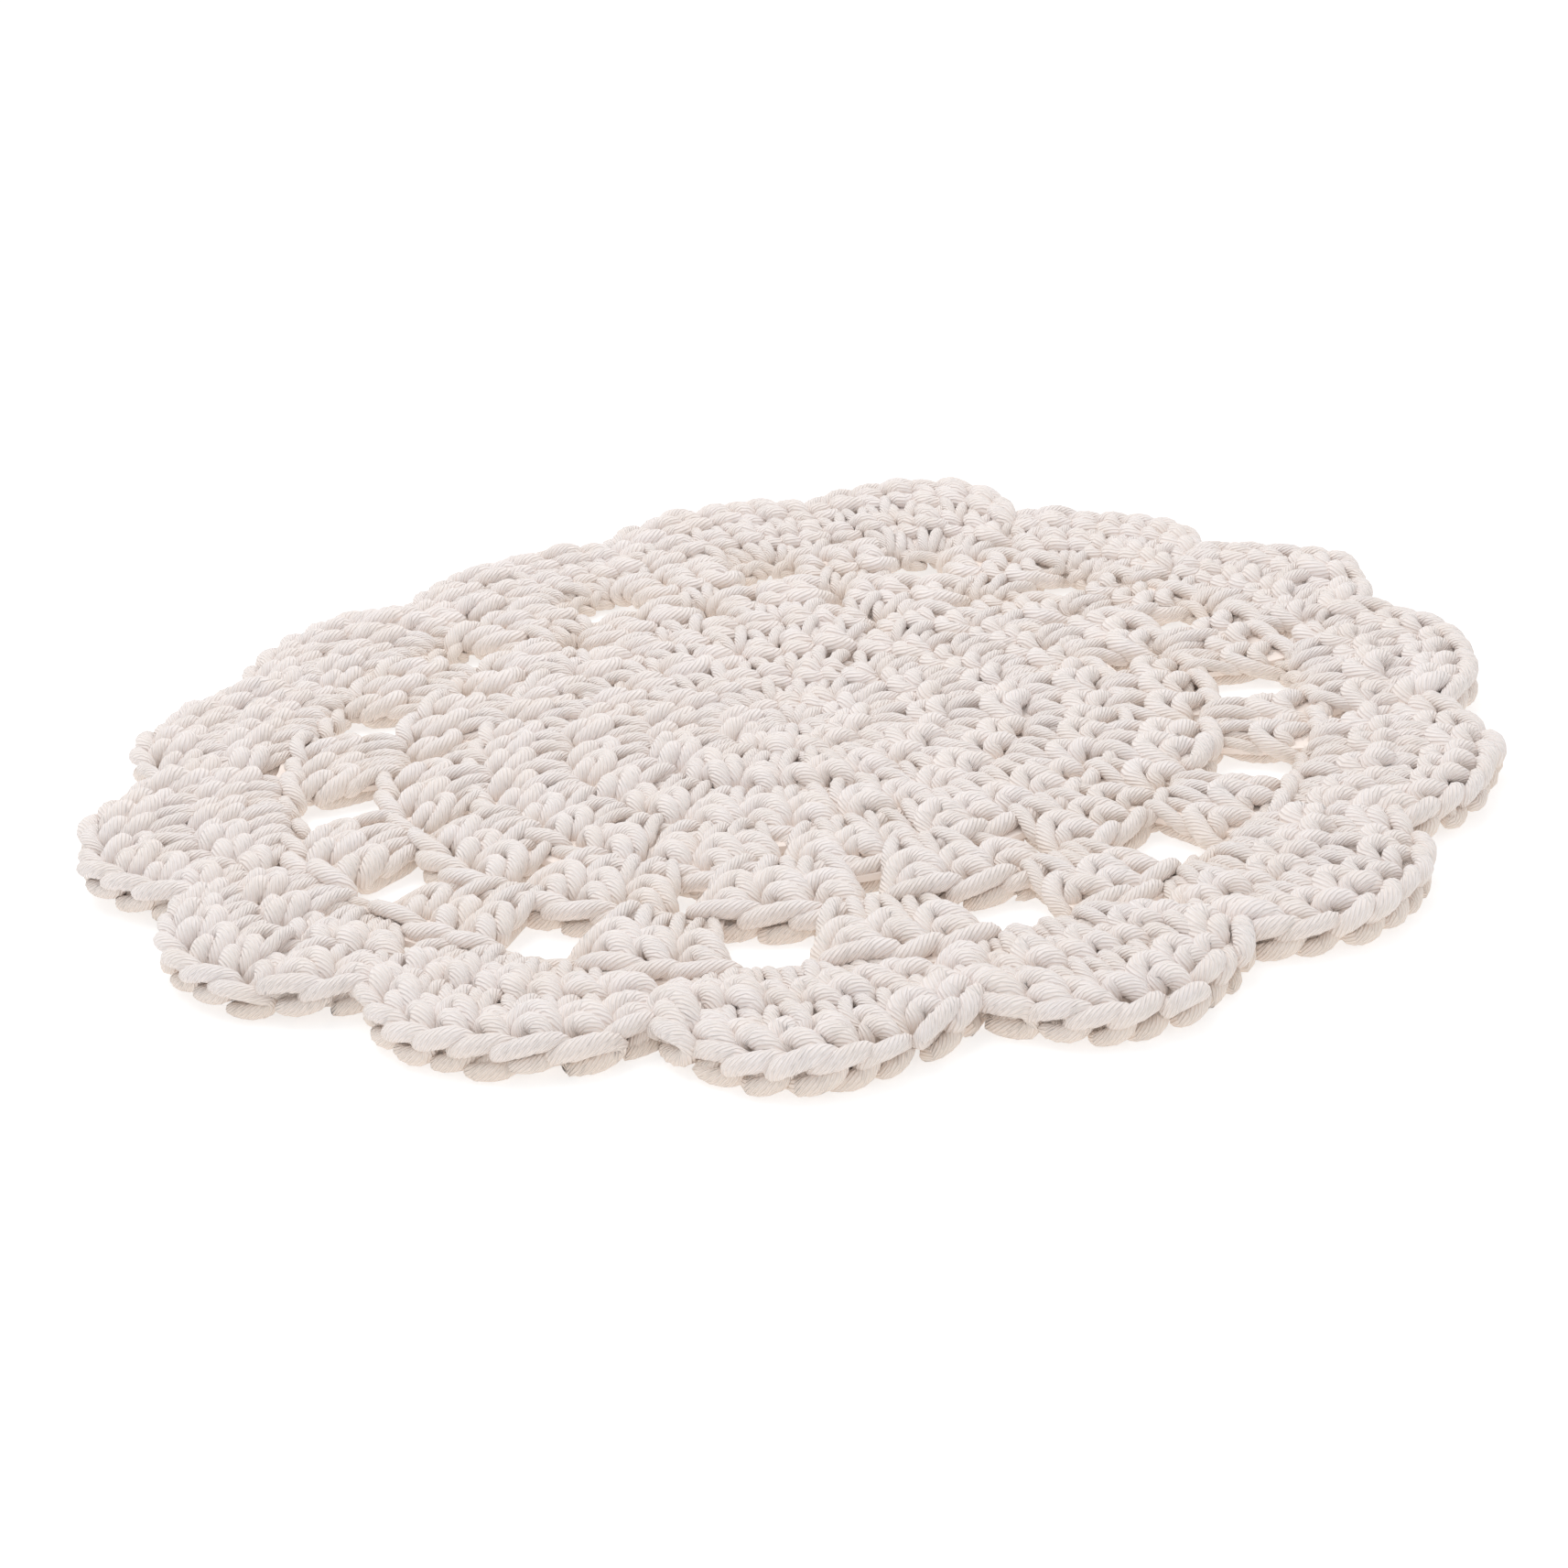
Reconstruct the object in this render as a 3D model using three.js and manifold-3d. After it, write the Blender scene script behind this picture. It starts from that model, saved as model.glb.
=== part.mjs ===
// A crocheted cotton doily, lying flat: one thick sheet of looped cord, 15 repeats round, with a
// scalloped rim. Millimetres, +Z up, origin at the middle of the underside.
import * as THREE from "three";
import { mergeVertices } from "three/addons/utils/BufferGeometryUtils.js";
import Module from "manifold-3d";

// Driving dimensions
const CORD = 5.4; // thickness of the cotton cord
const THICK = 2 * CORD; // a stitch is two strands deep
const GROOVE = 7.2; // height of the sunk line between two rounds
const DIP = 8.4; // height of the valley between two posts of a round
const REST_RADIUS = 112; // inside this the underside is flat on the table
const UNDER_BEND = 150; // radius of a ring of points where the lifted edges bend
const RIM_WIDTH = 6; // breadth of the braided rim
const RIM_COLUMNS = 16; // columns of points in a repeat, at the rim
const UNDER_COLUMNS = 4; // and on the underside
const NOTCH_SHARPNESS = 0.7; // below 1 the scallops are round and the notches sharp
const LAG_REACH = 53; // width of the ring in which the inner rounds come to lag behind the rim
const BETWEEN = -0.4; // height between two clusters: 0 is the valley between two posts, 1 the top of a post
const CUT_PAST = 10; // how far a cutting tool reaches past both faces
const COTTON = 0xe9dfd8;

// One row for each repeat, anticlockwise from the right. Angles are in degrees, seen from above.
// tip, tipRadius: crown of the scallop. notch, notchRadius: the nick after it.
// lift: how far the crown stands off the table. lag: degrees by which the rounds inside the ring of windows
// lag behind the crown. width, reach: size of the window behind the crown.
const REPEATS = [
  { tip: 3, tipRadius: 179, notch: 16, notchRadius: 168, lift: 2, lag: 1, width: 23, reach: 19 },
  { tip: 28, tipRadius: 180, notch: 40, notchRadius: 165, lift: 1, lag: 1, width: 18, reach: 16 },
  { tip: 51, tipRadius: 174, notch: 63, notchRadius: 163, lift: 0, lag: 4, width: 18, reach: 15 },
  { tip: 76, tipRadius: 184, notch: 87, notchRadius: 171, lift: 5, lag: 5, width: 19, reach: 15 },
  { tip: 98, tipRadius: 180, notch: 110, notchRadius: 162, lift: 2, lag: 7, width: 20, reach: 15 },
  { tip: 123, tipRadius: 173, notch: 135, notchRadius: 164, lift: 0, lag: 8, width: 22, reach: 17 },
  { tip: 147, tipRadius: 176, notch: 158, notchRadius: 167, lift: 1, lag: 8, width: 23, reach: 18 },
  { tip: 169, tipRadius: 181, notch: 180, notchRadius: 170, lift: 1, lag: 6, width: 21, reach: 17 },
  { tip: 192, tipRadius: 185, notch: 205, notchRadius: 171, lift: 2, lag: 2, width: 25, reach: 20 },
  { tip: 217, tipRadius: 182, notch: 231, notchRadius: 167, lift: 1, lag: 3, width: 24, reach: 20 },
  { tip: 243, tipRadius: 177, notch: 257, notchRadius: 163, lift: 0, lag: 4, width: 25, reach: 20 },
  { tip: 270, tipRadius: 181, notch: 282, notchRadius: 164, lift: 0, lag: 5, width: 22, reach: 16 },
  { tip: 293, tipRadius: 184, notch: 304, notchRadius: 170, lift: 0, lag: 2, width: 20, reach: 16 },
  { tip: 315, tipRadius: 184, notch: 327, notchRadius: 169, lift: 0, lag: 1, width: 23, reach: 18 },
  { tip: 338, tipRadius: 180, notch: 350, notchRadius: 168, lift: 1, lag: 2, width: 19, reach: 16 },
];

// Rounds of stitches from the middle outwards. crest: radius of the round's highest line, groove: of the sunk
// line outside it. posts: stitches in a repeat, or in the whole round where whole is set. pitch: one post's
// share of the repeat. centre: where in the repeat the posts gather, 0 on a notch and 0.5 on a tip.
const ROUNDS = [
  { crest: 13, groove: 23, posts: 12, whole: true, columns: 48 },
  { crest: 34, groove: 44, posts: 24, whole: true, columns: 48 },
  { crest: 54, groove: 65, posts: 2, pitch: 0.4, centre: 0.5, columns: 10 },
  { crest: 76, groove: 87, posts: 3, pitch: 0.2, centre: 0, columns: 10 },
  { crest: 98, groove: 109, posts: 3, pitch: 0.2, centre: 0.5, columns: 10 },
  { crest: 121, groove: 133, posts: 3, pitch: 0.2, centre: 0, columns: 10 },
  { crest: 145, groove: 157, posts: 8, pitch: 0.125, centre: 0.5, columns: 16 },
  { crest: 167, groove: 177, posts: 8, pitch: 0.125, centre: 0.5, columns: 16 },
];
const SCALLOPED_FROM = 133; // the outer two rounds follow the scallops
const OUTER_GROOVE = 177;

// Gaps between the clusters of a round, cut right through. at: place in the repeat, 0 notch and 0.5 tip.
const WINDOW_RADIUS = 124.5;
const WINDOW_CORNER = 6;
const WINDOW_AT = 0.5;
const SMALL_GAPS = [
  { radius: 85, at: 0.5, width: 6, reach: 6 },
  { radius: 101.5, at: 0, width: 11, reach: 10 },
  { radius: 141, at: 0, width: 6, reach: 8 },
];

const smooth = THREE.MathUtils.smoothstep;
const mix = THREE.MathUtils.lerp;

// Angle of a place in the doily: whole part of turn is the repeat, its fraction runs from notch to notch.
function angleAt(turn) {
  const count = REPEATS.length;
  const repeat = Math.floor(turn);
  const part = turn - repeat;
  const row = REPEATS[((repeat % count) + count) % count];
  const before = REPEATS[(((repeat - 1) % count) + count) % count].notch;
  const start = before > row.tip ? before - 360 : before;
  const bent = part < 0.5 ? mix(start, row.tip, 2 * part) : mix(row.tip, row.notch, 2 * part - 1);
  return THREE.MathUtils.degToRad(bent + 360 * Math.floor(repeat / count));
}

// Angle by which a round lags behind the rim at a place in the doily.
function lagAt(radius, turn) {
  const count = REPEATS.length;
  const place = THREE.MathUtils.euclideanModulo(turn - 0.5, count);
  const repeat = Math.floor(place);
  const degrees = mix(REPEATS[repeat].lag, REPEATS[(repeat + 1) % count].lag, place - repeat);
  const share = THREE.MathUtils.clamp((OUTER_GROOVE - radius) / LAG_REACH, 0, 1);
  return THREE.MathUtils.degToRad(degrees * share);
}

// Radius of the rim and height of the lifted edge at a place in the doily.
function scallopAt(turn) {
  const count = REPEATS.length;
  const repeat = ((Math.floor(turn) % count) + count) % count;
  const across = 2 * (turn - Math.floor(turn)) - 1;
  const row = REPEATS[repeat];
  const before = REPEATS[(repeat - 1 + count) % count];
  const after = REPEATS[(repeat + 1) % count];
  const nick = across < 0 ? before.notchRadius : row.notchRadius;
  const crown = Math.pow(1 - across * across, NOTCH_SHARPNESS);
  const neighbour = across < 0 ? before : after;
  const nickLift = 0.5 * (row.lift + neighbour.lift);
  return { radius: mix(nick, row.tipRadius, crown), lift: mix(nickLift, row.lift, 1 - Math.abs(across)) };
}

// How proud a post stands: 1 on a post, 0 between two posts, BETWEEN between two clusters.
function postAt(round, turn) {
  if (round.whole) return 0.5 + 0.5 * Math.cos((2 * Math.PI * round.posts * turn) / REPEATS.length);
  const part = turn - Math.floor(turn);
  const away = THREE.MathUtils.euclideanModulo(part - round.centre + 0.5, 1) - 0.5;
  const spread = 0.5 * round.posts * round.pitch;
  if (Math.abs(away) > spread) return BETWEEN;
  const shift = round.posts % 2 ? 0 : 0.5 * round.pitch;
  return 0.5 + 0.5 * Math.cos((2 * Math.PI * (away - shift)) / round.pitch);
}

// Plan radius of a ring: round near the middle, scalloped near the rim.
function planRadius(radius, turn) {
  if (radius <= SCALLOPED_FROM) return radius;
  const share = (radius - SCALLOPED_FROM) / (OUTER_GROOVE - SCALLOPED_FROM);
  return mix(SCALLOPED_FROM, scallopAt(turn).radius - RIM_WIDTH, share);
}

// Height of the underside, which leaves the table only towards a lifted crown.
function underside(radius, turn) {
  return scallopAt(turn).lift * smooth(radius, REST_RADIUS, OUTER_GROOVE);
}

// One closed ring of points of a round, given by its radius. place gives radius and height for each turn.
function makeRing(columns, round, place) {
  return Array.from({ length: columns }, (_, i) => {
    const turn = (i * REPEATS.length) / columns;
    const { radius, height } = place(turn);
    const angle = angleAt(turn) - lagAt(round, turn);
    return { angle, point: [radius * Math.cos(angle), radius * Math.sin(angle), height] };
  });
}

// Rings of the upper face, from the middle to the rim.
function upperRings() {
  return ROUNDS.flatMap((round) => {
    const columns = round.whole ? round.columns : round.columns * REPEATS.length;
    const crest = makeRing(columns, round.crest, (turn) => ({
      radius: planRadius(round.crest, turn),
      height: underside(round.crest, turn) + mix(DIP, THICK, postAt(round, turn)),
    }));
    const groove = makeRing(columns, round.groove, (turn) => ({
      radius: planRadius(round.groove, turn),
      height: underside(round.groove, turn) + GROOVE,
    }));
    return [crest, groove];
  });
}

// Rings of the rim: two strands of cord stacked at the edge, then the outer ring of the underside.
function rimRings() {
  const columns = RIM_COLUMNS * REPEATS.length;
  const strands = [
    { inset: 0.5 * CORD, height: THICK },
    { inset: 0, height: 1.5 * CORD },
    { inset: 0.35 * CORD, height: CORD },
    { inset: 0.05 * CORD, height: 0.5 * CORD },
    { inset: 0.5 * CORD, height: 0 },
  ];
  return strands.map(({ inset, height }) =>
    makeRing(columns, OUTER_GROOVE, (turn) => {
      const { radius, lift } = scallopAt(turn);
      return { radius: radius - inset, height: lift + height };
    }),
  );
}

// Rings of the underside, from the rim back to the middle.
function lowerRings() {
  const columns = UNDER_COLUMNS * REPEATS.length;
  return [UNDER_BEND, REST_RADIUS].map((radius) =>
    makeRing(columns, radius, (turn) => ({ radius, height: underside(radius, turn) })),
  );
}

// Triangles between two rings whose points may differ in number, matched by their angles.
function zipRings(inner, outer, triangles) {
  const angleOf = (ring, i) => ring[i % ring.length].angle + 2 * Math.PI * Math.floor(i / ring.length);
  const id = (ring, i) => ring[i % ring.length].id;
  let i = 0;
  let o = 0;
  while (i < inner.length || o < outer.length) {
    const innerNext = i < inner.length ? angleOf(inner, i + 1) : Infinity;
    const outerNext = o < outer.length ? angleOf(outer, o + 1) : Infinity;
    if (outerNext <= innerNext) {
      triangles.push(id(inner, i), id(outer, o), id(outer, o + 1));
      o += 1;
    } else {
      triangles.push(id(inner, i), id(outer, o), id(inner, i + 1));
      i += 1;
    }
  }
}

// The closed sheet before its gaps are cut: rings over the top, round the rim and back beneath.
function sheetGeometry() {
  const rings = [...upperRings(), ...rimRings(), ...lowerRings()];
  const points = [[0, 0, GROOVE]];
  rings.forEach((ring) =>
    ring.forEach((vertex) => {
      vertex.id = points.length;
      points.push(vertex.point);
    }),
  );
  const last = points.length;
  points.push([0, 0, 0]);
  const triangles = [];
  const first = rings[0];
  first.forEach((vertex, i) => triangles.push(0, vertex.id, first[(i + 1) % first.length].id));
  for (let k = 1; k < rings.length; k += 1) zipRings(rings[k - 1], rings[k], triangles);
  const under = rings[rings.length - 1];
  under.forEach((vertex, i) => triangles.push(last, under[(i + 1) % under.length].id, vertex.id));
  const geometry = new THREE.BufferGeometry();
  geometry.setAttribute("position", new THREE.Float32BufferAttribute(points.flat(), 3));
  geometry.setIndex(triangles);
  return geometry;
}

// A gap's plan: width runs along the round, reach outwards. Windows have straight sides and round corners.
function gapShape(width, reach, corner) {
  const shape = new THREE.Shape();
  if (!corner) return shape.absellipse(0, 0, reach / 2, width / 2, 0, 2 * Math.PI, false, 0);
  const x = reach / 2 - corner;
  const y = width / 2 - corner;
  const quarter = Math.PI / 2;
  shape.absarc(x, y, corner, 0, quarter);
  shape.absarc(-x, y, corner, quarter, 2 * quarter);
  shape.absarc(-x, -y, corner, 2 * quarter, 3 * quarter);
  shape.absarc(x, -y, corner, 3 * quarter, 4 * quarter);
  return shape;
}

// The tool that cuts one gap, reaching past both faces of the sheet.
function gapGeometry({ width, reach, corner, radius, turn }) {
  const shape = gapShape(width, reach, corner);
  const options = { depth: THICK + 2 * CUT_PAST, curveSegments: corner ? 1 : 4, bevelEnabled: false };
  const tool = new THREE.ExtrudeGeometry(shape, options);
  return tool.translate(radius, 0, -CUT_PAST).rotateZ(angleAt(turn) - lagAt(radius, turn));
}

// Every gap of the doily: one window and three smaller gaps to a repeat.
function allGaps() {
  return REPEATS.flatMap(({ width, reach }, repeat) => [
    { width, reach, corner: WINDOW_CORNER, radius: WINDOW_RADIUS, turn: repeat + WINDOW_AT },
    ...SMALL_GAPS.map((gap) => ({ ...gap, turn: repeat + gap.at })),
  ]);
}

const wasm = await Module();
wasm.setup();

// A closed geometry as a solid that can be cut.
function solidOf(geometry) {
  geometry.deleteAttribute("normal");
  geometry.deleteAttribute("uv");
  const merged = mergeVertices(geometry);
  const mesh = new wasm.Mesh({
    numProp: 3,
    vertProperties: merged.attributes.position.array,
    triVerts: new Uint32Array(merged.index.array),
  });
  return new wasm.Manifold(mesh);
}

// A solid back as geometry.
function geometryOf(solid) {
  const { vertProperties, triVerts } = solid.getMesh();
  const geometry = new THREE.BufferGeometry();
  geometry.setAttribute("position", new THREE.BufferAttribute(vertProperties, 3));
  geometry.setIndex(new THREE.BufferAttribute(triVerts, 1));
  geometry.computeVertexNormals();
  return geometry;
}

// The crocheted sheet with its gaps cut through.
function makeDoily() {
  const whole = solidOf(sheetGeometry());
  const cut = allGaps().reduce((sheet, gap) => sheet.subtract(solidOf(gapGeometry(gap))), whole);
  const cotton = new THREE.MeshStandardMaterial({ color: COTTON, roughness: 0.95, metalness: 0 });
  const mesh = new THREE.Mesh(geometryOf(cut), cotton);
  mesh.name = "doily";
  return mesh;
}

const group = new THREE.Group();
group.add(makeDoily());

export default group;
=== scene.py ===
import math

import bpy
import numpy as np
from mathutils import Matrix, Vector


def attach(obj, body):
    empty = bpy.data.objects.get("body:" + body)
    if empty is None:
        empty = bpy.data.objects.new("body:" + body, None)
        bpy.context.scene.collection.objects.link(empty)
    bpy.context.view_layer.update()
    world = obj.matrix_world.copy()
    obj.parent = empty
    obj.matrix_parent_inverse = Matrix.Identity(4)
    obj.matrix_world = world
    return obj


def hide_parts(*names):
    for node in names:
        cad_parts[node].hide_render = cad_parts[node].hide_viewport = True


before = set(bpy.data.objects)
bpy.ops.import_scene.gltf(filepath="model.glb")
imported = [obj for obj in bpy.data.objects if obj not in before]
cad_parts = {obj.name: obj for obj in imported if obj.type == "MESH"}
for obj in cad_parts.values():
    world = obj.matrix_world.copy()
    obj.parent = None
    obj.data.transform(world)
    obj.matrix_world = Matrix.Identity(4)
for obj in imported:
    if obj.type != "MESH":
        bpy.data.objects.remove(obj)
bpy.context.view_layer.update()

MM = 0.001

# Sizes of the crochet, in millimetres
CORD = 5.4              # diameter of the cord where nothing squeezes it
MIDDLE = 5.4            # height of the sheet's middle above the table
REST_RADIUS = 112.0     # inside it no part of the sheet is lifted off the table
RIM_WIDTH = 6.0         # width of the strand along the rim
SCALLOP_POWER = 2.2     # power of the scallop's curve
NOTCH_DEEPER = 4.0      # the cord rounds the nicks off, so its path goes deeper
SCALLOPED_FROM = 136.0  # inside it the rounds are plain circles
OUTER_RADIUS = 177.0    # top of the last round, before it is scalloped
DIP = 0.22              # how much flatter the crochet is in the ring of windows
DIP_RADIUS = 118.0
DIP_REACH = 50.0
LAG_REACH = 53.0        # width of the ring in which the inner rounds come to lag behind the rim

# One row for each repeat, anticlockwise from the right: crown of the scallop (angle in degrees, radius),
# the nick after it (angle, radius), how far the crown stands off the table, and the degrees by which the
# rounds inside the ring of windows lag behind the crown.
REPEATS = [
    # tip, tip radius, notch, notch radius, lift, lag
    (3, 179, 16, 168, 2, 1),
    (28, 180, 40, 165, 1, 1),
    (51, 174, 63, 163, 0, 4),
    (76, 184, 87, 171, 5, 5),
    (98, 180, 110, 162, 2, 7),
    (123, 173, 135, 164, 0, 8),
    (147, 176, 158, 167, 1, 8),
    (169, 181, 180, 170, 1, 6),
    (192, 185, 205, 171, 2, 2),
    (217, 182, 231, 167, 1, 3),
    (243, 177, 257, 163, 0, 4),
    (270, 181, 282, 164, 0, 5),
    (293, 184, 304, 170, 0, 2),
    (315, 184, 327, 169, 0, 1),
    (338, 180, 350, 168, 1, 2),
]
COUNT = len(REPEATS)
TIP, TIP_RADIUS, NOTCH, NOTCH_RADIUS, LIFT, LAG = (np.array(column, float) for column in zip(*REPEATS))

# A treble post as one run of cord. along: in stitch widths, in the direction of work. up: from the foot, 0,
# to the top, 1. out: towards the right side, in cord diameters. full: plumpness of the cord.
POST = np.array([
    # along, up, out, full
    (-0.60, 0.90, -0.26, 0.80),   # from the last stitch's top, round to the front
    (-0.54, 0.70, -0.04, 0.90),
    (-0.46, 0.53, 0.20, 0.96),    # the fat arch across the front
    (-0.27, 0.39, 0.44, 1.02),
    (0.03, 0.34, 0.54, 1.06),
    (0.31, 0.41, 0.52, 1.05),
    (0.50, 0.57, 0.36, 1.00),
    (0.60, 0.74, 0.06, 0.94),
    (0.42, 0.60, -0.40, 0.80),    # down the back to the foot
    (0.22, 0.32, -0.50, 0.80),
    (0.06, 0.04, -0.44, 0.76),
    (-0.06, -0.14, -0.14, 0.66),
    (-0.16, -0.14, 0.26, 0.60),   # under the last round and up the front, first leg
    (-0.27, 0.00, 0.54, 0.68),
    (-0.39, 0.20, 0.56, 0.72),
    (-0.48, 0.42, 0.36, 0.68),
    (-0.24, 0.50, 0.06, 0.52),    # the leg's loop, hidden by the arch
    (0.08, 0.52, 0.04, 0.52),
    (0.47, 0.43, 0.34, 0.68),
    (0.40, 0.22, 0.56, 0.72),     # second leg, down again
    (0.29, 0.00, 0.54, 0.68),
    (0.18, -0.14, 0.26, 0.60),
    (0.10, -0.14, -0.14, 0.66),
    (-0.06, 0.06, -0.46, 0.76),   # up the back
    (-0.22, 0.34, -0.50, 0.80),
    (-0.38, 0.62, -0.30, 0.82),
    (-0.30, 0.71, 0.14, 0.96),    # second fat loop, over the inside of the arch
    (-0.15, 0.62, 0.48, 1.04),
    (0.07, 0.60, 0.59, 1.08),
    (0.29, 0.68, 0.56, 1.07),
    (0.47, 0.82, 0.34, 1.00),
    (0.52, 0.93, -0.04, 0.88),
    (0.10, 0.86, -0.36, 0.80),
    (-0.30, 0.90, -0.32, 0.82),
    (-0.64, 0.99, -0.02, 0.78),   # point of the chain loop on top
    (-0.42, 1.03, 0.22, 0.84),
    (-0.06, 1.03, 0.38, 0.88),
    (0.32, 1.00, 0.40, 0.88),
    (0.64, 0.95, 0.26, 0.82),
    (0.82, 0.90, -0.02, 0.76),
    (0.72, 0.94, -0.24, 0.80),
    (0.42, 1.00, -0.34, 0.84),
    (0.06, 1.02, -0.36, 0.84),
    (-0.34, 1.00, -0.32, 0.80),
    (0.00, 0.90, -0.34, 0.78),
])
TOP_LOOP = 34                     # the chain loop starts here
# Only the loop on top: a chain stitch over a gap.
CHAIN = POST[TOP_LOOP:]

# Rounds from the middle outwards. foot, top: radii. sets: clusters in the round. posts: stitches in a
# cluster. at: where in a repeat a cluster stands, 0 on a notch and 0.5 on a tip. spread: share of the repeat
# that the cluster takes at its foot and at its top. chains: chain stitches over the gap. open: how far the
# loops on top lie open, 1, or are drawn in by the feet of the next round.
ROUNDS = [
    # name, foot, top, sets, posts, at, foot spread, top spread, chains, open
    ("round_1", 5.0, 22.0, 1, 12, 0.0, 1.0, 1.0, 0, 0.4),
    ("round_2", 22.0, 43.0, 1, 24, 0.0, 1.0, 1.0, 0, 0.4),
    ("round_3", 43.0, 64.0, COUNT, 2, 0.5, 0.90, 0.92, 0, 0.7),
    ("round_4", 64.0, 85.0, COUNT, 3, 0.0, 0.86, 0.96, 0, 1.0),
    ("round_5", 85.0, 108.0, COUNT, 3, 0.5, 0.70, 0.84, 1, 1.0),
    ("round_6", 109.5, 134.5, COUNT, 3, 0.0, 0.48, 0.60, 3, 1.0),
    ("round_7", 137.5, 158.0, COUNT, 8, 0.5, 0.74, 1.0, 0, 0.4),
    ("round_8", 157.0, 177.0, COUNT, 8, 0.5, 1.0, 1.0, 0, 1.0),
]

# How stitches differ from one another
SEED = 7
UNEVEN = (0.10, 0.035, 0.08)   # scatter of a whole stitch: along, up, out
LOOSE = (0.035, 0.016, 0.04)   # scatter of a point of its cord
LEAN = 0.13          # scatter of how far a stitch leans, in stitch widths
PLUMP = 0.07         # scatter of how plump a stitch is
CHAIN_OPEN = 0.5     # how far the chain stitches over a gap lie open
CHAIN_FULL = 0.8     # their plumpness
DRAWN_BACK = 0.12    # how far a drawn-in loop lies behind the middle of the sheet, in cord diameters

# The cord
SIDES = 10           # corners of the cord's section
STEP = 2.0           # mean length between two sections
FINE = 6             # steps from one control point to the next before the run is cut into sections
BEND_STEPS = 1.2     # how much closer the sections lie in a bend
SHARPEST = 1.5       # bend, as the cord's radius over the bend's own, past which they come no closer
TWIST = 16.0         # length in which the cord's threads turn once round it
RIDGE = 0.02         # height of a thread ridge, as a share of the radius
BEND_ROOM = 0.92     # the cord's radius in a bend, as a share of the bend's own
LEAST_BEND = 0.01    # a flatter bend counts as this one, per millimetre
LEAST_FULL = 0.55    # how far a bend may narrow the cord
FULL_PASSES = 3      # smoothing of its plumpness

# How crossing strands are pushed apart
SETTLE_STEPS = 30
SEARCH_EVERY = 6     # steps from one search for neighbours to the next
SEARCH_ROOM = 1.0    # how far beyond touching the search looks
LEAST_APART = 0.05   # distance that points on the same spot count as having
SQUEEZE = 0.88       # share of the cord's radius that neighbours leave each other
OWN_NEIGHBOURS = 5   # steps along a cord that don't push each other
HELD = 0.95          # how well a cord keeps to its stitch while it is pushed
SETTLE_PASSES = 2    # smoothing of the push and of the settled run

# The thin body of the crochet, and the gaps in it: inner and outer radius, place in the repeat and half width
# in it.
GROUND_RADII = (3, 12, 22, 32, 43, 54, 64, 70, 77, 85, 90, 96, 102, 108, 112, 118, 124, 130, 135, 139, 144,
                149, 155, 162, 169)
GROUND_COLUMNS = 16            # in each repeat
GROUND_FACES = (-0.12, 0.22)   # its lower and upper face, in cord diameters
GAPS = [
    (70.0, 85.0, 0.5, 0.10),
    (90.0, 108.0, 0.0, 0.17),
    (104.0, 136.0, 0.5, 0.25),
    (139.0, 149.0, 0.0, 0.10),
]

# The cotton
COTTON_LIGHT = (0.965, 0.885, 0.86)
COTTON_CREAM = (0.945, 0.85, 0.80)
COTTON_PAINTED_SHADE = (0.93, 0.79, 0.685)    # painted warm shade: a darker, warmer colour on the low parts of the cord, where the crevices lie
THREAD_GROOVE_SHADE = (0.97, 0.94, 0.91)   # painted shade in the grooves between two threads
THREAD_CREST = (1.0, 1.0, 1.0)
PAINTED_SHADE_FULL_AT = 2.5         # heights, in millimetres, between which the painted warm shade fades out: full below the first, none above the second
PAINTED_SHADE_GONE_AT = 9.5
BLOTCH_SCALE = 90.0   # blotches to the metre
BLOTCH_DETAIL = 3.0
BLOTCH_RANGE = (0.35, 0.65)
THREADS = 12          # round the cord
THREAD_STRENGTH = 0.68
THREAD_DEPTH = 0.25   # in millimetres
COTTON_ROUGHNESS = 0.95
COTTON_SHINE = 0.2
SHEEN = 0.25
SHEEN_ROUGHNESS = 0.5

# The floor and the light, in metres and watts
FLOOR_HALF = 60.0
FLOOR_GREY = 0.6
FLOOR_ROUGHNESS = 0.9
FLOOR_GLOW = 0.56
SKY = 0.79            # strength of the light from all round
SKY_SLOPE = 0.10      # how much stronger it is from behind than from the side
SKY_TINT = (0.985, 0.995, 1.0)
LAMP_SIZE = 1.1
LAMP_POWER = 6.6
LAMP_SPOT = (-0.25, 0.30, 1.15)
GAMMA = 1.2

# The camera, in millimetres and degrees
CAMERA_SPOT = (0.0, -716.7, 308.5)
CAMERA_AIM = (-4.6, -18.1, 0.0)
CAMERA_ROLL = -5.61
SENSOR = 36.0
FOCAL = 3236.0        # focal length and frame width, in the photo's pixels
FRAME_WIDTH = 1713.0
NEAREST = 10.0


def angle_at(turn):
    """Angle of a place in the doily: its whole part is the repeat, its fraction runs from notch to notch."""
    start = NOTCH[-1] - 360.0
    marks = np.concatenate([[start], np.column_stack([TIP, NOTCH]).ravel()])
    places = np.arange(2 * COUNT + 1) * 0.5
    laps = np.floor(turn / COUNT)
    return np.radians(np.interp(turn - laps * COUNT, places, marks) + 360.0 * laps)


def scallop_at(turn):
    """Radius of the rim, and height of its lifted edge."""
    repeat = np.floor(turn).astype(int) % COUNT
    across = 2.0 * (turn - np.floor(turn)) - 1.0
    before = (repeat - 1) % COUNT
    after = (repeat + 1) % COUNT
    nick = np.where(across < 0.0, NOTCH_RADIUS[before], NOTCH_RADIUS[repeat])
    nick = nick - NOTCH_DEEPER
    crown = 1.0 - np.power(np.abs(across), SCALLOP_POWER)
    neighbour = np.where(across < 0.0, LIFT[before], LIFT[after])
    nick_lift = 0.5 * (LIFT[repeat] + neighbour)
    lift = nick_lift + (LIFT[repeat] - nick_lift) * (1.0 - np.abs(across))
    return nick + (TIP_RADIUS[repeat] - nick) * crown, lift


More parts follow.
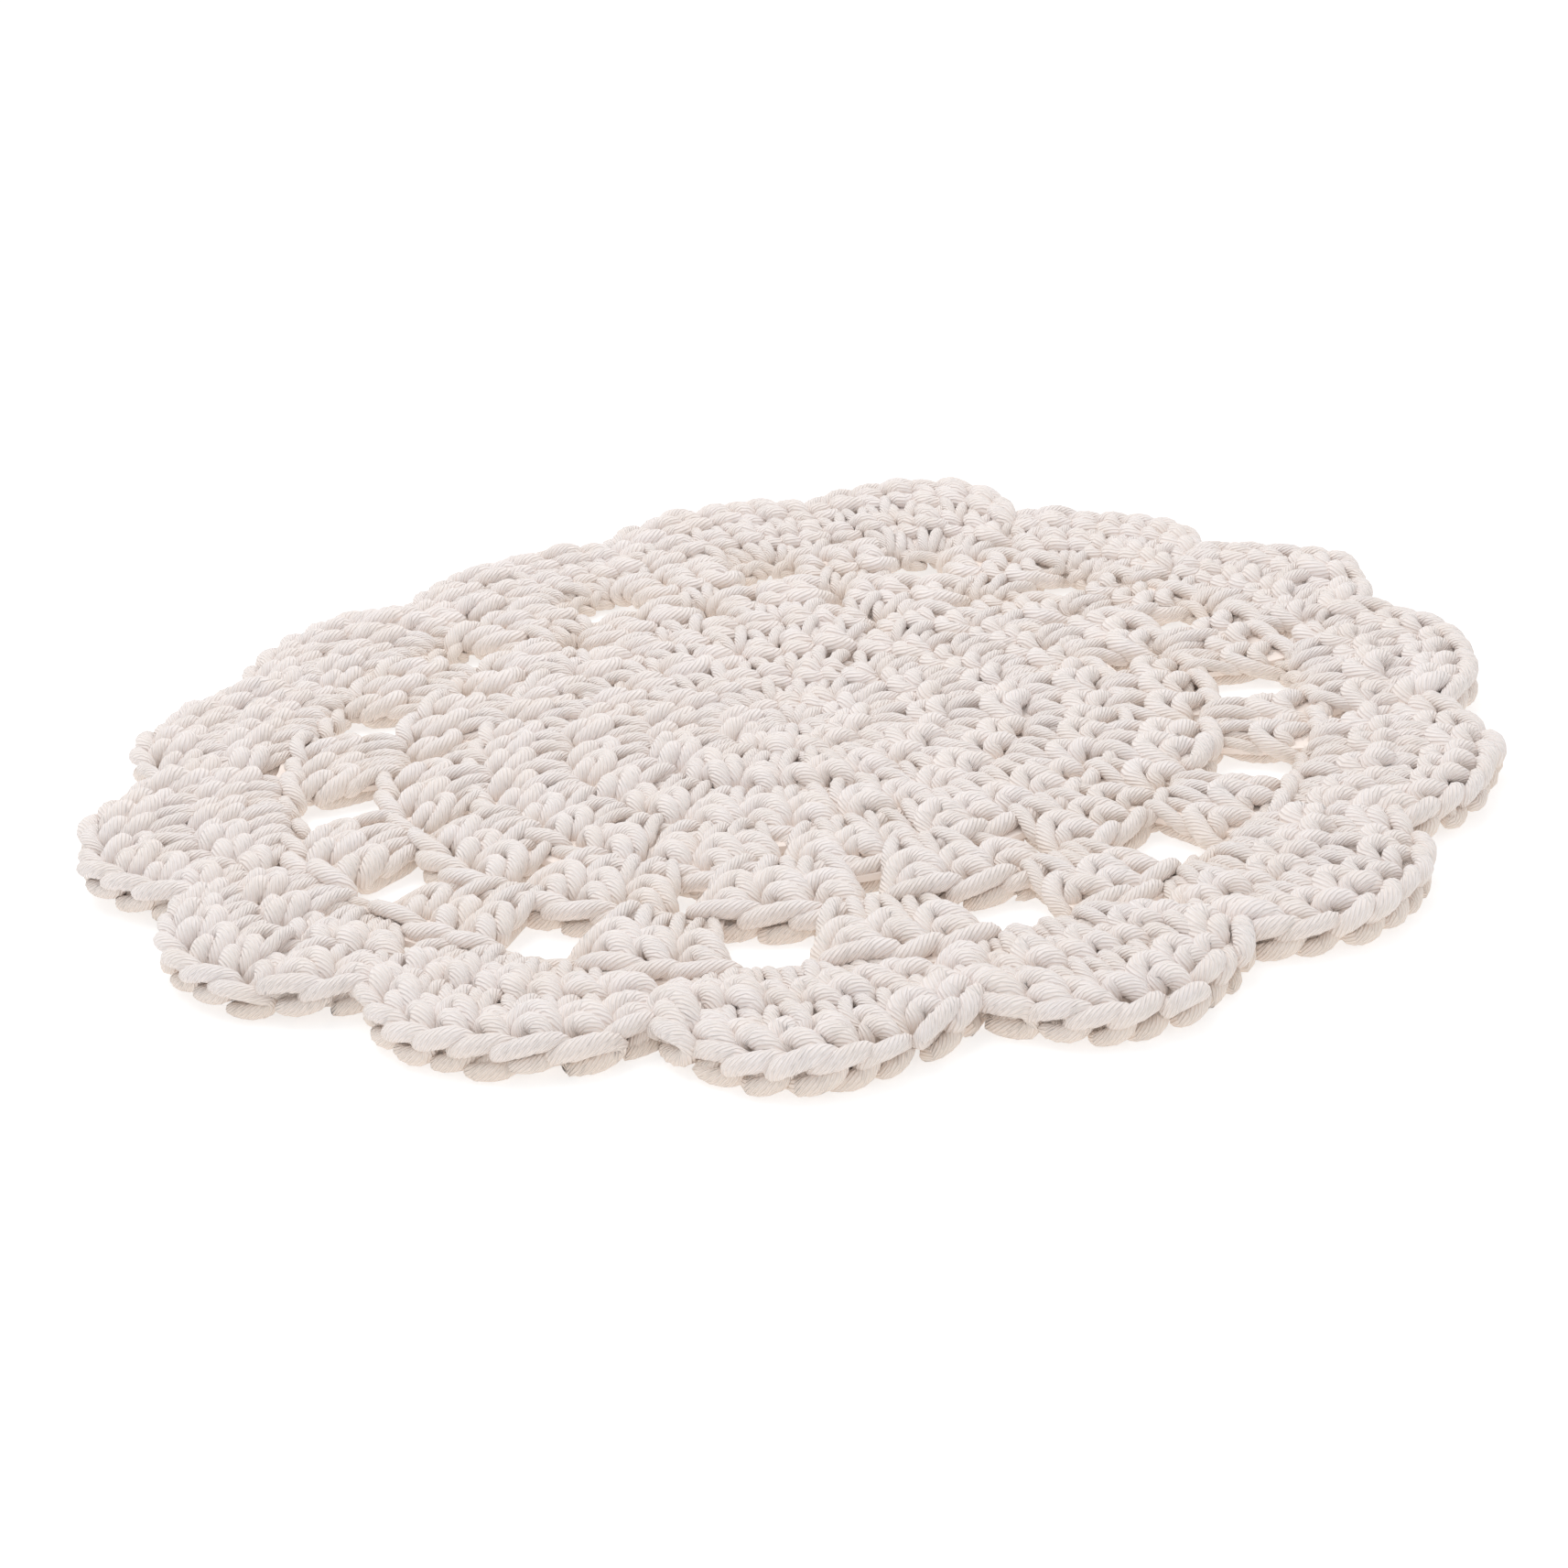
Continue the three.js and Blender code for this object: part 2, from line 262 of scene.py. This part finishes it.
def plan_radius(radius, turn):
    """Round near the middle, scalloped near the rim."""
    share = np.clip((radius - SCALLOPED_FROM) / (OUTER_RADIUS - SCALLOPED_FROM), 0.0, None)
    edge = scallop_at(turn)[0] - 0.5 * RIM_WIDTH
    scalloped = SCALLOPED_FROM + (edge - SCALLOPED_FROM) * share
    return np.where(radius > SCALLOPED_FROM, scalloped, radius)


def lift_at(radius, turn):
    """How far the sheet stands off the table."""
    share = np.clip((radius - REST_RADIUS) / (OUTER_RADIUS - REST_RADIUS), 0.0, 1.0)
    return scallop_at(turn)[1] * share * share * (3.0 - 2.0 * share)


def dip_at(radius):
    """1 in the ring of windows, where the crochet is flattest, and 0 away from it."""
    return np.clip(1.0 - np.abs(radius - DIP_RADIUS) / DIP_REACH, 0.0, 1.0)


def lag_at(radius, turn):
    """Angle by which a round lags behind the rim."""
    degrees = np.interp((turn - 0.5) % COUNT, np.arange(COUNT + 1), np.append(LAG, LAG[0]))
    return np.radians(degrees) * np.clip((OUTER_RADIUS - radius) / LAG_REACH, 0.0, 1.0)


def place(turn, radius, out):
    """Point of the doily, in millimetres."""
    flat = plan_radius(radius, turn)
    angle = angle_at(turn) - lag_at(radius, turn)
    height = (MIDDLE + out * CORD) * (1.0 - DIP * dip_at(radius)) + lift_at(radius, turn)
    return np.stack([flat * np.cos(angle), flat * np.sin(angle), height], axis=-1)


def round_controls(row, draw):
    """Control points and plumpness of one round's cord, stitch by stitch."""
    foot, top, sets, posts, at, foot_spread, top_spread, chains, opened = row[1:]
    repeats_per_set = COUNT / sets
    points = []
    for cluster in range(sets):
        middle = (cluster + at) * repeats_per_set
        foot_pitch = foot_spread * repeats_per_set / posts
        top_pitch = top_spread * repeats_per_set / posts
        gap_pitch = (1.0 - top_spread) * repeats_per_set / max(chains, 1)
        for post in range(posts + chains):
            shape = POST if post < posts else CHAIN
            jog = draw.normal(0.0, UNEVEN)
            lean = draw.normal(0.0, LEAN)
            full = shape[:, 3] * (1.0 + draw.normal(0.0, PLUMP))
            loose = draw.normal(0.0, 1.0, (len(shape), 3)) * LOOSE
            along, up, out = (shape[:, :3] + jog + loose).T
            along = along + lean * (up - 0.5)
            if post >= posts:
                out = CHAIN_OPEN * out - DRAWN_BACK
                full = full * CHAIN_FULL
            elif opened < 1.0:
                out[TOP_LOOP:] = opened * out[TOP_LOOP:] - DRAWN_BACK
            if post < posts:
                place_in = post - 0.5 * (posts - 1)
                turn = middle + (place_in + along) * (foot_pitch + (top_pitch - foot_pitch) * up)
            else:
                start = middle + 0.5 * posts * top_pitch
                turn = start + (post - posts + 0.5 + along) * gap_pitch
            radius = foot + (top - foot) * up
            points.append(np.column_stack([place(turn, radius, out), full]))
    return np.concatenate(points)


def smooth_run(controls):
    """A closed smooth run through the control points, cut into even steps."""
    steps = np.linspace(0.0, 1.0, FINE, endpoint=False)[:, None, None]
    a, b, c, d = (np.roll(controls, shift, axis=0)[None] for shift in (1, 0, -1, -2))
    run = 0.5 * (2 * b + (c - a) * steps + (2 * a - 5 * b + 4 * c - d) * steps ** 2
                 + (3 * b - a - 3 * c + d) * steps ** 3)
    run = run.transpose(1, 0, 2).reshape(-1, 4)
    closed = np.vstack([run, run[:1]])
    legs = np.linalg.norm(np.diff(closed[:, :3], axis=0), axis=1)
    ahead = np.roll(run[:, :3], -1, axis=0) - run[:, :3]
    ahead /= np.linalg.norm(ahead, axis=1)[:, None]
    bend = np.linalg.norm(ahead - np.roll(ahead, 1, axis=0), axis=1) / legs
    share = legs * (1.0 + BEND_STEPS * np.clip(bend * 0.5 * CORD, 0.0, SHARPEST))
    travel = np.concatenate([[0.0], np.cumsum(share)])
    lengths = np.concatenate([[0.0], np.cumsum(legs)])
    count = int(round(lengths[-1] / STEP))
    marks = np.linspace(0.0, travel[-1], count, endpoint=False)
    even = np.column_stack([np.interp(marks, travel, closed[:, k]) for k in range(4)])
    return even, np.interp(marks, travel, lengths), lengths[-1]


def near_pairs(points, reach):
    """Every pair of points that lie closer than a reach, found through a grid of cells."""
    cell = np.floor(points / reach).astype(np.int64)
    cell -= cell.min(axis=0) - 1
    span = cell.max(axis=0) + 2
    key = (cell[:, 0] * span[1] + cell[:, 1]) * span[2] + cell[:, 2]
    order = np.argsort(key, kind="stable")
    ordered = key[order]
    firsts = []
    seconds = []
    for across, along, up in np.ndindex(3, 3, 3):
        step = ((across - 1) * span[1] + along - 1) * span[2] + up - 1
        low = np.searchsorted(ordered, key + step, "left")
        count = np.searchsorted(ordered, key + step, "right") - low
        first = np.repeat(np.arange(len(key)), count)
        within = np.arange(len(first)) - np.repeat(np.cumsum(count) - count, count)
        second = order[np.repeat(low, count) + within]
        close = first < second
        first = first[close]
        second = second[close]
        close = np.sum((points[first] - points[second]) ** 2, axis=1) < reach * reach
        firsts.append(first[close])
        seconds.append(second[close])
    return np.concatenate(firsts), np.concatenate(seconds)


def smoothed(values, before, after, passes):
    """Values drawn halfway to the mean of their two neighbours, a number of times over."""
    for _ in range(passes):
        values = 0.5 * values + 0.25 * (values[before] + values[after])
    return values


def settle(runs):
    """Push strands that cross into each other apart, so that they lie against one another."""
    points = np.concatenate([run[:, :3] for run in runs])
    radius = 0.5 * CORD * SQUEEZE * np.concatenate([run[:, 3] for run in runs])
    lengths = [len(run) for run in runs]
    owner = np.repeat(np.arange(len(runs)), lengths)
    first_of = np.concatenate([[0], np.cumsum(lengths)])
    index = np.arange(len(points)) - first_of[owner]
    before = first_of[owner] + (index - 1) % np.array(lengths)[owner]
    after = first_of[owner] + (index + 1) % np.array(lengths)[owner]
    start = points.copy()
    shift = np.zeros_like(points)
    for step in range(SETTLE_STEPS):
        if step % SEARCH_EVERY == 0:
            one, two = near_pairs(points, 2.0 * radius.max() + SEARCH_ROOM)
            apart = np.abs(index[one] - index[two])
            apart = np.minimum(apart, np.array(lengths)[owner[one]] - apart)
            free = (owner[one] != owner[two]) | (apart > OWN_NEIGHBOURS)
            one = one[free]
            two = two[free]
        gap = points[two] - points[one]
        distance = np.maximum(np.linalg.norm(gap, axis=1), LEAST_APART)
        overlap = radius[one] + radius[two] - distance
        hit = overlap > 0.0
        push = gap[hit] * (0.5 * overlap[hit] / distance[hit])[:, None]
        ends = np.concatenate([one[hit], two[hit]])
        pushes = np.concatenate([-push, push])
        total = np.stack([np.bincount(ends, pushes[:, k], len(points)) for k in range(3)], axis=1)
        shift += total / np.maximum(np.bincount(ends, minlength=len(points)), 1)[:, None]
        shift = HELD * smoothed(shift, before, after, SETTLE_PASSES)
        points = start + shift
        points[:, 2] = np.maximum(points[:, 2], radius)
        shift = points - start
    points = smoothed(points, before, after, SETTLE_PASSES)
    for run, first, count in zip(runs, first_of, lengths):
        run[:, :3] = points[first:first + count]


def ease_bends(run):
    """Narrow the cord where it bends tighter than its own radius, so that it doesn't fold into itself."""
    ahead = np.roll(run[:, :3], -1, axis=0) - run[:, :3]
    length = np.linalg.norm(ahead, axis=1)
    ahead /= length[:, None]
    span = 0.5 * (length + np.roll(length, 1))
    bend = np.linalg.norm(ahead - np.roll(ahead, 1, axis=0), axis=1) / span
    room = BEND_ROOM / np.maximum(bend, LEAST_BEND) / (0.5 * CORD)
    full = np.clip(np.minimum(run[:, 3], room), LEAST_FULL * run[:, 3], None)
    index = np.arange(len(run))
    full = smoothed(full, index - 1, (index + 1) % len(run), FULL_PASSES)
    run[:, 3] = full
    run[:, 2] = np.maximum(run[:, 2], 0.5 * CORD * full * (1.0 + RIDGE))


def carried_frames(run):
    """Two cross directions at each step, carried along without turning about the run."""
    along = np.roll(run, -1, axis=0) - np.roll(run, 1, axis=0)
    along /= np.linalg.norm(along, axis=1)[:, None]
    side = np.empty_like(along)
    first = np.cross(along[0], (0.0, 0.0, 1.0))
    side[0] = first / np.linalg.norm(first)
    for k in range(1, len(run)):
        turned = side[k - 1] - along[k] * side[k - 1].dot(along[k])
        side[k] = turned / math.sqrt(turned.dot(turned))
    return side, np.cross(along, side)


def cord_mesh(name, run, marks, length):
    """A closed cord of twisted threads along a run, with a UV map in its own length and girth."""
    side, over = carried_frames(run[:, :3])
    count = len(run)
    turns = max(1, round(length / TWIST))
    spin = -2.0 * math.pi * turns * marks / length
    corner = np.arange(SIDES)
    angle = spin[:, None] + 2.0 * math.pi * corner[None] / SIDES
    ridge = 1.0 + RIDGE * np.where(corner % 2 == 0, 1.0, -1.0)
    radius = 0.5 * CORD * run[:, 3:4] * ridge[None]
    points = run[:, None, :3] + radius[..., None] * (
        np.cos(angle)[..., None] * side[:, None] + np.sin(angle)[..., None] * over[:, None])
    ring = np.arange(count)
    a = ring[:, None] * SIDES + corner[None]
    b = ring[:, None] * SIDES + (corner[None] + 1) % SIDES
    c = ((ring[:, None] + 1) % count) * SIDES + (corner[None] + 1) % SIDES
    d = ((ring[:, None] + 1) % count) * SIDES + corner[None]
    faces = np.stack([a, b, c, d], axis=-1).reshape(-1, 4)
    mesh = bpy.data.meshes.new(name)
    mesh.vertices.add(count * SIDES)
    mesh.vertices.foreach_set("co", (points.reshape(-1) * MM).astype(np.float32))
    mesh.loops.add(faces.size)
    mesh.loops.foreach_set("vertex_index", faces.reshape(-1).astype(np.int32))
    mesh.polygons.add(len(faces))
    mesh.polygons.foreach_set("loop_start", np.arange(0, faces.size, 4, dtype=np.int32))
    mesh.polygons.foreach_set("use_smooth", np.ones(len(faces), bool))
    u0 = np.broadcast_to(marks[:, None] / CORD, (count, SIDES))
    u1 = np.broadcast_to(np.append(marks[1:], length)[:, None] / CORD, (count, SIDES))
    v0 = np.broadcast_to(corner[None] / SIDES, (count, SIDES))
    v1 = v0 + 1.0 / SIDES
    uv = np.stack([u0, v0, u0, v1, u1, v1, u1, v0], axis=-1)
    layer = mesh.uv_layers.new(name="cord")
    layer.uv.foreach_set("vector", uv.reshape(-1).astype(np.float32))
    mesh.update()
    mesh.validate()
    return mesh


def add_piece(mesh, mat):
    """A piece of the looks that takes the place of the solid."""
    obj = bpy.data.objects.new(mesh.name, mesh)
    bpy.context.scene.collection.objects.link(obj)
    mesh.materials.append(mat)
    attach(obj, "root")
    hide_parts("doily")
    return obj


def mixed_colour(mat, first, second, guide, low, high):
    """The first colour where the guide is low and the second where it is high."""
    nodes = mat.node_tree.nodes
    links = mat.node_tree.links
    share = nodes.new("ShaderNodeMapRange")
    share.inputs["From Min"].default_value = low
    share.inputs["From Max"].default_value = high
    links.new(guide, share.inputs["Value"])
    mix = nodes.new("ShaderNodeMix")
    mix.data_type = "RGBA"
    links.new(share.outputs["Result"], mix.inputs["Factor"])
    for colour, name in ((first, "A"), (second, "B")):
        socket = next(one for one in mix.inputs if one.name == name and one.type == "RGBA")
        if isinstance(colour, tuple):
            socket.default_value = (*colour, 1.0)
        else:
            links.new(colour, socket)
    return next(one for one in mix.outputs if one.type == "RGBA")


def cotton_material():
    """Undyed cotton cord: fine threads along the twist, uneven ecru, soft sheen, painted warm shade on the
    low parts and painted shade in the grooves between threads.
    """
    mat = bpy.data.materials.new("cotton_cord")
    mat.use_nodes = True
    nodes = mat.node_tree.nodes
    links = mat.node_tree.links
    shader = nodes["Principled BSDF"]
    shader.inputs["Roughness"].default_value = COTTON_ROUGHNESS
    shader.inputs["Specular IOR Level"].default_value = COTTON_SHINE
    shader.inputs["Sheen Weight"].default_value = SHEEN
    shader.inputs["Sheen Roughness"].default_value = SHEEN_ROUGHNESS
    uv = nodes.new("ShaderNodeUVMap")
    uv.uv_map = "cord"
    split = nodes.new("ShaderNodeSeparateXYZ")
    links.new(uv.outputs["UV"], split.inputs["Vector"])
    threads = nodes.new("ShaderNodeMath")
    threads.operation = "MULTIPLY"
    threads.inputs[1].default_value = 2.0 * math.pi * THREADS
    links.new(split.outputs["Y"], threads.inputs[0])
    wave = nodes.new("ShaderNodeMath")
    wave.operation = "SINE"
    links.new(threads.outputs["Value"], wave.inputs[0])
    bump = nodes.new("ShaderNodeBump")
    bump.inputs["Strength"].default_value = THREAD_STRENGTH
    bump.inputs["Distance"].default_value = THREAD_DEPTH * MM
    links.new(wave.outputs["Value"], bump.inputs["Height"])
    spot = nodes.new("ShaderNodeTexCoord")
    blotch = nodes.new("ShaderNodeTexNoise")
    blotch.inputs["Scale"].default_value = BLOTCH_SCALE
    blotch.inputs["Detail"].default_value = BLOTCH_DETAIL
    links.new(spot.outputs["Object"], blotch.inputs["Vector"])
    # painted warm shade: the cord's colour turns darker and warmer the lower it lies, by its height in the
    # object
    height = nodes.new("ShaderNodeSeparateXYZ")
    links.new(spot.outputs["Object"], height.inputs["Vector"])
    top = mixed_colour(mat, COTTON_LIGHT, COTTON_CREAM, blotch.outputs["Fac"], *BLOTCH_RANGE)
    with_painted_shade = mixed_colour(mat, COTTON_PAINTED_SHADE, top, height.outputs["Z"], PAINTED_SHADE_FULL_AT * MM, PAINTED_SHADE_GONE_AT * MM)
    # painted shade in the grooves between the threads, darkest where the thread bump is lowest
    colour = mixed_colour(mat, THREAD_GROOVE_SHADE, THREAD_CREST, wave.outputs["Value"], -1.0, 0.0)
    tint = nodes.new("ShaderNodeMix")
    tint.data_type = "RGBA"
    tint.blend_type = "MULTIPLY"
    tint.inputs["Factor"].default_value = 1.0
    first, second = (one for one in tint.inputs if one.type == "RGBA")
    links.new(with_painted_shade, first)
    links.new(colour, second)
    links.new(next(one for one in tint.outputs if one.type == "RGBA"), shader.inputs["Base Color"])
    links.new(bump.outputs["Normal"], shader.inputs["Normal"])
    return mat


def make_rounds(mat):
    """Every round of the crochet, each one piece of cord."""
    draw = np.random.default_rng(SEED)
    cords = [smooth_run(round_controls(row, draw)) for row in ROUNDS]
    settle([cord[0] for cord in cords])
    pieces = []
    for row, (run, marks, length) in zip(ROUNDS, cords):
        ease_bends(run)
        pieces.append(add_piece(cord_mesh(row[0], run, marks, length), mat))
    return pieces


def ground_cells():
    """Which cells of the ground are there: none over the gaps of the crochet."""
    there = np.ones((len(GROUND_RADII) - 1, COUNT * GROUND_COLUMNS), bool)
    middle = 0.5 * (np.array(GROUND_RADII[1:]) + np.array(GROUND_RADII[:-1]))
    fraction = (np.arange(COUNT * GROUND_COLUMNS) + 0.5) / GROUND_COLUMNS % 1.0
    for inner, outer, at, half in GAPS:
        rows = (middle > inner) & (middle < outer)
        columns = np.abs((fraction - at + 0.5) % 1.0 - 0.5) < half
        there[np.ix_(rows, columns)] = False
    return there


def make_ground(mat):
    """The thin body of the crochet that all its strands lie round: a flat sheet with the same gaps."""
    there = ground_cells()
    rows, columns = there.shape
    turn = np.arange(columns) / GROUND_COLUMNS
    layers = []
    for out in GROUND_FACES:
        for radius in GROUND_RADII:
            layers.append(place(turn, np.full(columns, radius), np.full(columns, out)))
    points = np.concatenate(layers)
    level = (rows + 1) * columns
    faces = []
    for row, column in np.argwhere(there):
        after = (column + 1) % columns
        a = row * columns + column
        b = row * columns + after
        c = b + columns
        d = a + columns
        faces.append((a, b, c, d))
        faces.append((a + level, d + level, c + level, b + level))
        for open_side, p, q in ((row == 0 or not there[row - 1, column], b, a),
                                (row == rows - 1 or not there[row + 1, column], d, c),
                                (not there[row, column - 1], a, d),
                                (not there[row, after], c, b)):
            if open_side:
                faces.append((p, q, q + level, p + level))
    used = np.unique(np.array([corner for face in faces for corner in face]))
    new_index = np.full(len(points), -1)
    new_index[used] = np.arange(len(used))
    mesh = bpy.data.meshes.new("ground")
    corners = [tuple(int(new_index[k]) for k in face) for face in faces]
    mesh.from_pydata((points[used] * MM).tolist(), [], corners)
    mesh.update()
    return add_piece(mesh, mat)


def make_floor():
    """A plain pale floor."""
    half = FLOOR_HALF
    corners = [(-half, -half, 0), (half, -half, 0), (half, half, 0), (-half, half, 0)]
    mesh = bpy.data.meshes.new("floor")
    mesh.from_pydata(corners, [], [(0, 1, 2, 3)])
    obj = bpy.data.objects.new("floor", mesh)
    bpy.context.scene.collection.objects.link(obj)
    mat = bpy.data.materials.new("floor")
    mat.use_nodes = True
    shader = mat.node_tree.nodes["Principled BSDF"]
    shader.inputs["Base Color"].default_value = (FLOOR_GREY, FLOOR_GREY, FLOOR_GREY, 1.0)
    shader.inputs["Roughness"].default_value = FLOOR_ROUGHNESS
    shader.inputs["Emission Color"].default_value = (1.0, 1.0, 1.0, 1.0)
    shader.inputs["Emission Strength"].default_value = FLOOR_GLOW
    obj.data.materials.append(mat)


def make_light():
    """Soft light from all round, stronger from behind, and one large lamp overhead."""
    world = bpy.data.worlds.new("studio")
    bpy.context.scene.world = world
    world.use_nodes = True
    nodes = world.node_tree.nodes
    links = world.node_tree.links
    background = nodes["Background"]
    background.inputs["Color"].default_value = (*SKY_TINT, 1.0)
    place_in_sky = nodes.new("ShaderNodeTexCoord")
    split = nodes.new("ShaderNodeSeparateXYZ")
    links.new(place_in_sky.outputs["Generated"], split.inputs["Vector"])
    slope = nodes.new("ShaderNodeMath")
    slope.operation = "MULTIPLY_ADD"
    slope.inputs[1].default_value = SKY_SLOPE
    slope.inputs[2].default_value = SKY
    links.new(split.outputs["Y"], slope.inputs[0])
    links.new(slope.outputs["Value"], background.inputs["Strength"])
    lamp = bpy.data.lights.new("overhead", "AREA")
    lamp.shape = "DISK"
    lamp.size = LAMP_SIZE
    lamp.energy = LAMP_POWER
    obj = bpy.data.objects.new("overhead", lamp)
    obj.location = LAMP_SPOT
    obj.rotation_euler = Vector(obj.location).to_track_quat("Z", "Y").to_euler()
    bpy.context.scene.collection.objects.link(obj)


def make_camera():
    """Camera at the photo's viewing angle."""
    spot = Vector(CAMERA_SPOT) * MM
    aim = Vector(CAMERA_AIM) * MM
    roll = math.radians(CAMERA_ROLL)
    forward = (aim - spot).normalized()
    level = forward.cross(Vector((0, 0, 1))).normalized()
    upright = level.cross(forward)
    right = level * math.cos(roll) + upright * math.sin(roll)
    up = upright * math.cos(roll) - level * math.sin(roll)
    data = bpy.data.cameras.new("camera")
    data.sensor_width = SENSOR
    data.lens = FOCAL / FRAME_WIDTH * SENSOR
    data.clip_start = NEAREST * MM
    obj = bpy.data.objects.new("camera", data)
    turn = Matrix((right, up, -forward)).transposed()
    obj.matrix_world = Matrix.Translation(spot) @ turn.to_4x4()
    bpy.context.scene.collection.objects.link(obj)
    bpy.context.scene.camera = obj


bpy.context.scene.view_settings.view_transform = "Standard"
bpy.context.scene.view_settings.gamma = GAMMA
make_camera()
cotton = cotton_material()
rounds = make_rounds(cotton)
ground = make_ground(cotton)
make_floor()
make_light()
